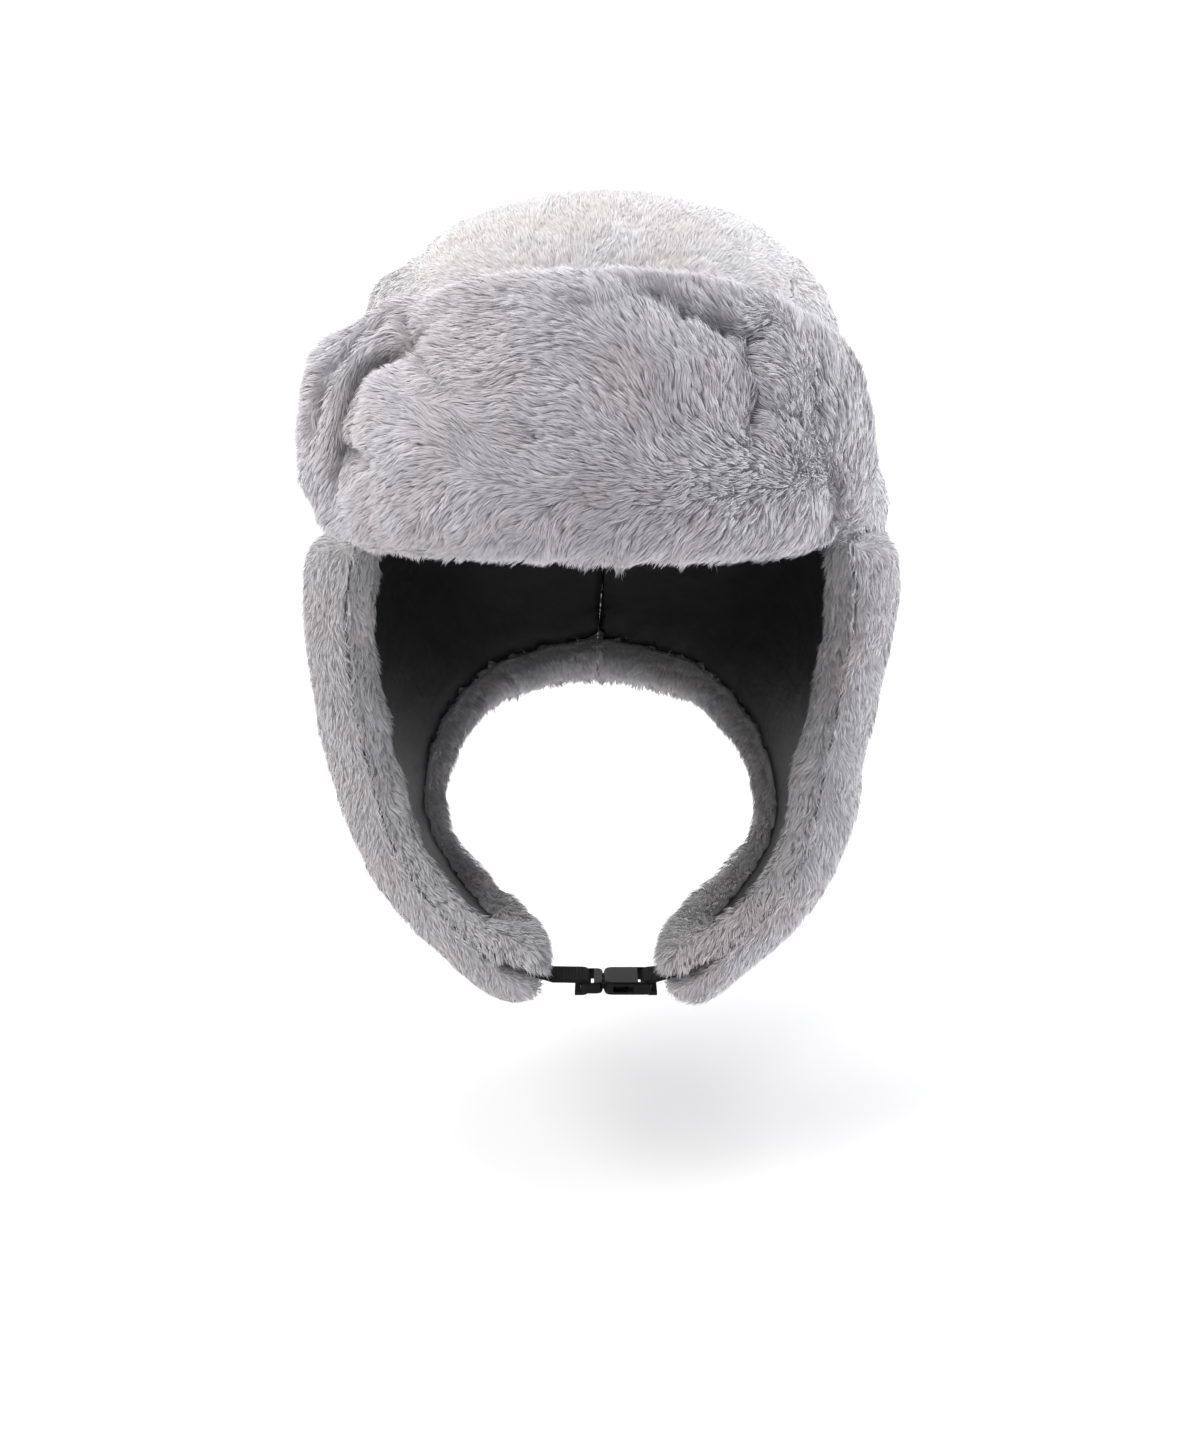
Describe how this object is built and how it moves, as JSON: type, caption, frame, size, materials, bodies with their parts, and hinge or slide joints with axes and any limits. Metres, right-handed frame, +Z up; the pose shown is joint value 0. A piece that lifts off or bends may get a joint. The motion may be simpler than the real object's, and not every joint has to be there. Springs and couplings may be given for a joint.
{
  "type": "aviator hat",
  "caption": "Faux-fur aviator hat with turned-up front visor, long ear flaps round the neck, black lining and a buckled chin strap.",
  "frame": {"origin": "centre of the head opening at the height of the rim, where the crown meets the visor and the ear flaps", "axes": "+Z up through the crown, -Y the way the wearer faces, +X towards the wearer's left"},
  "size_m": [0.2269, 0.261, 0.299],
  "materials": {
    "crown_fur": "short-pile faux fur, light grey, brushed flat",
    "visor_fur": "deep faux fur, mid grey, standing in small tufts",
    "flap_fur": "short-pile faux fur, grey, brushed downwards",
    "facing_fur": "deep faux fur, mid grey, tufts pointing down",
    "lining": "black satin lining, lightly padded",
    "webbing": "black woven webbing",
    "buckle_plastic": "black moulded plastic, fine grain"
  },
  "bodies": {
    "root": {"crown_centre_panel": "crown_fur", "crown_left_panel": "crown_fur", "crown_right_panel": "crown_fur", "crown_lining": "lining", "visor_face": "visor_fur", "visor_back": "visor_fur", "ear_flap_left": "flap_fur", "ear_flap_right": "flap_fur", "ear_facing_left": "facing_fur", "ear_facing_right": "facing_fur", "ear_lining_left": "lining", "ear_lining_right": "lining", "chin_strap_left": "webbing", "chin_strap_right": "webbing", "buckle_socket": "buckle_plastic", "buckle_prongs": "buckle_plastic"}
  },
  "joints": []
}
